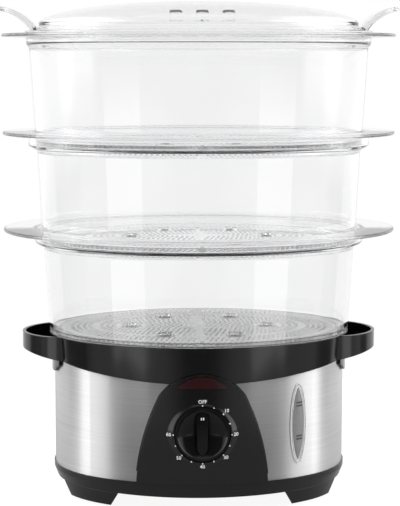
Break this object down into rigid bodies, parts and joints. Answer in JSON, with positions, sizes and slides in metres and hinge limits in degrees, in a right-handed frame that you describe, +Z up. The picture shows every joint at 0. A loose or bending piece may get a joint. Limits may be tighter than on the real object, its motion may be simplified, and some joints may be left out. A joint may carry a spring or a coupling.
{
  "type": "electric food steamer",
  "caption": "Oval electric food steamer: black base with a steel band, timer knob and water gauge, stacked clear baskets with flanged rims and a clear domed lid.",
  "frame": {"origin": "on the surface that the steamer stands on, under the middle of its box", "axes": "+Z up, the control panel faces -Y, the water gauge is towards +X"},
  "size_m": [0.3046, 0.237, 0.372],
  "materials": {
    "clear_plastic": "clear, polished",
    "black_plastic": "satin moulding",
    "brushed_steel": "brushed around the base",
    "zinc_screws": "zinc plated steel",
    "grey_rubber": "matt",
    "red_lens": "polished, dark red",
    "white_plastic": "plain moulding",
    "bright_bell": "nickel plated steel",
    "amber_lamp": "neon lamp in a clear sleeve",
    "gauge_plastic": "clear, polished",
    "cast_aluminium": "cast, satin",
    "red_silicone": "silicone",
    "dark_steel": "sheathed heating tube",
    "grey_plastic": "satin moulding",
    "tray_plastic": "clear to milky moulding"
  },
  "bodies": {
    "base": {"water_tank": "black_plastic", "steel_band": "brushed_steel", "base_housing": "black_plastic", "bottom_cover": "black_plastic", "cover_screws": "zinc_screws", "foot_pads": "grey_rubber", "control_panel": "black_plastic", "indicator_lens": "red_lens", "timer_body": "white_plastic", "timer_screws": "zinc_screws", "timer_bell": "bright_bell", "indicator_lamp": "amber_lamp", "gauge_window": "gauge_plastic", "gauge_seal": "grey_rubber", "sight_chamber": "white_plastic", "gauge_hose": "grey_rubber", "heater_plate": "cast_aluminium", "heater_seal": "red_silicone", "heating_element": "dark_steel", "heater_clamp": "zinc_screws", "clamp_screws": "zinc_screws", "thermostat": "white_plastic", "thermal_fuse": "white_plastic", "terminal_block": "white_plastic", "cord_gland": "grey_rubber"},
    "timer_knob": {"timer_knob": "black_plastic", "timer_shaft": "zinc_screws"},
    "steam_ring": {"steam_ring": "grey_plastic"},
    "drip_tray": {"drip_tray": "tray_plastic"},
    "basket_bottom": {"basket_bottom": "clear_plastic"},
    "basket_middle": {"basket_middle": "clear_plastic"},
    "basket_top": {"basket_top": "clear_plastic"},
    "lid": {"lid": "clear_plastic"}
  },
  "joints": [
    {"name": "timer_turn", "type": "hinge", "parent": "base", "child": "timer_knob", "pos_m": [0, -0.0875, 0.0592], "axis": [0, 1, 0], "range_deg": [0, 270]},
    {"name": "steam_ring_lift", "type": "slide", "parent": "base", "child": "steam_ring", "axis": [0, 0, 1], "range_m": [0, 0.09]},
    {"name": "drip_tray_lift", "type": "slide", "parent": "steam_ring", "child": "drip_tray", "axis": [0, 0, 1], "range_m": [0, 0.06]},
    {"name": "basket_bottom_lift", "type": "slide", "parent": "drip_tray", "child": "basket_bottom", "axis": [0, 0, 1], "range_m": [0, 0.06]},
    {"name": "basket_middle_lift", "type": "slide", "parent": "basket_bottom", "child": "basket_middle", "axis": [0, 0, 1], "range_m": [0, 0.06]},
    {"name": "basket_top_lift", "type": "slide", "parent": "basket_middle", "child": "basket_top", "axis": [0, 0, 1], "range_m": [0, 0.06]},
    {"name": "lid_lift", "type": "slide", "parent": "basket_top", "child": "lid", "axis": [0, 0, 1], "range_m": [0, 0.06]}
  ]
}
